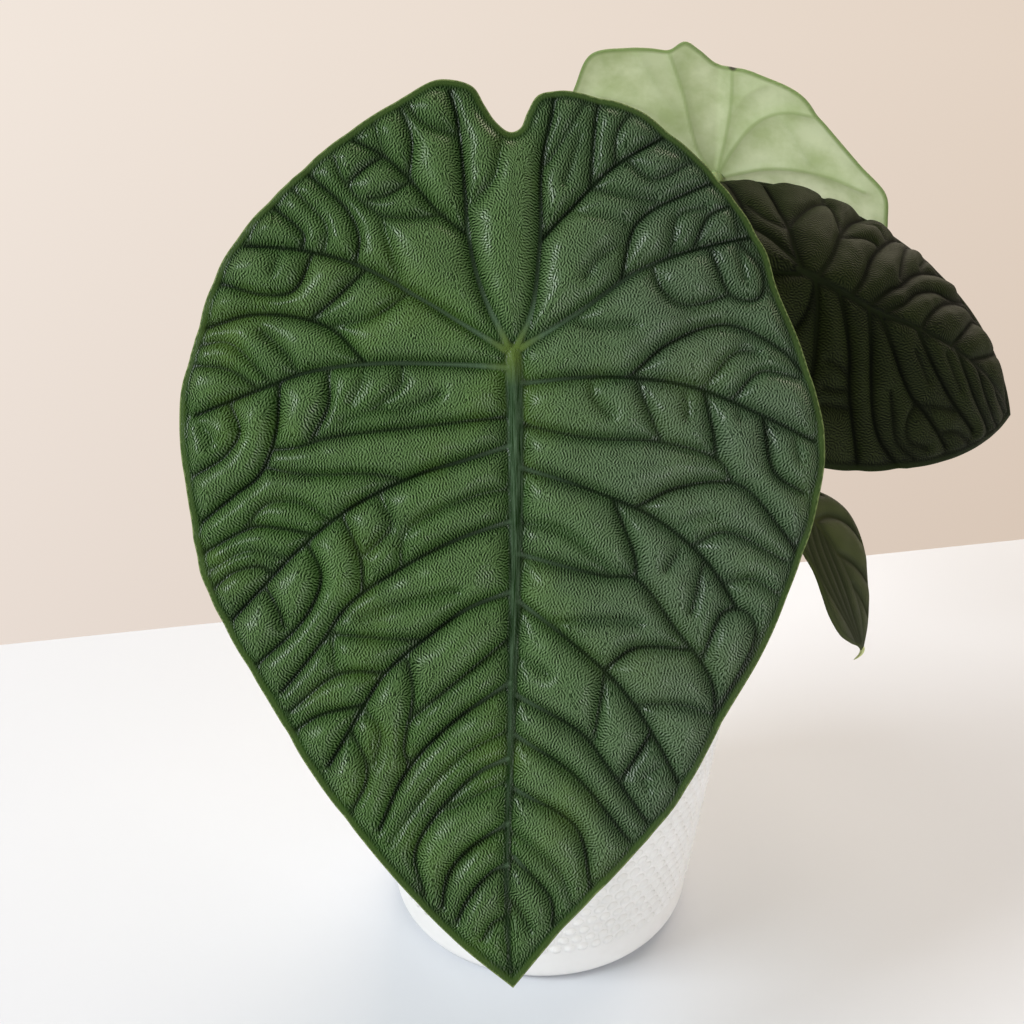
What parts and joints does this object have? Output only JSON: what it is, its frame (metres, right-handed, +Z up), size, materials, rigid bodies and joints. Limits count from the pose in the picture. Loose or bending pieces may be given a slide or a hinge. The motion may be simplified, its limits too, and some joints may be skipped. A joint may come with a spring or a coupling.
{
  "type": "potted alocasia",
  "caption": "Potted foliage plant: large quilted, arrow-heart leaves on bare arching stalks, rooted in soil inside a white studded cover pot.",
  "frame": {"origin": "middle of the cover pot's underside, on the surface that it stands on", "axes": "+Z up; the largest leaf hangs over the front of the pot, towards -Y; +X to the right as seen from the front"},
  "size_m": [0.2577, 0.2509, 0.2765],
  "materials": {
    "pot_ceramic": "satin",
    "nursery_plastic": "matte",
    "soil": "matte",
    "rootstock": "matte",
    "dry_sheath": "matte",
    "petiole": "satin",
    "leaf_green": "satin",
    "leaf_pale_underside": "matte",
    "leaf_dark": "satin",
    "leaf_young": "satin"
  },
  "bodies": {
    "root": {"cover_pot": "pot_ceramic", "nursery_pot": "nursery_plastic", "soil": "soil", "rootstock": "rootstock", "old_sheath_left": "dry_sheath", "old_sheath_front": "dry_sheath", "petiole_front": "petiole", "petiole_back": "petiole", "petiole_right": "petiole", "petiole_small": "petiole", "blade_front": "leaf_green", "blade_back": "leaf_pale_underside", "blade_right": "leaf_dark", "blade_small": "leaf_young"}
  },
  "joints": []
}
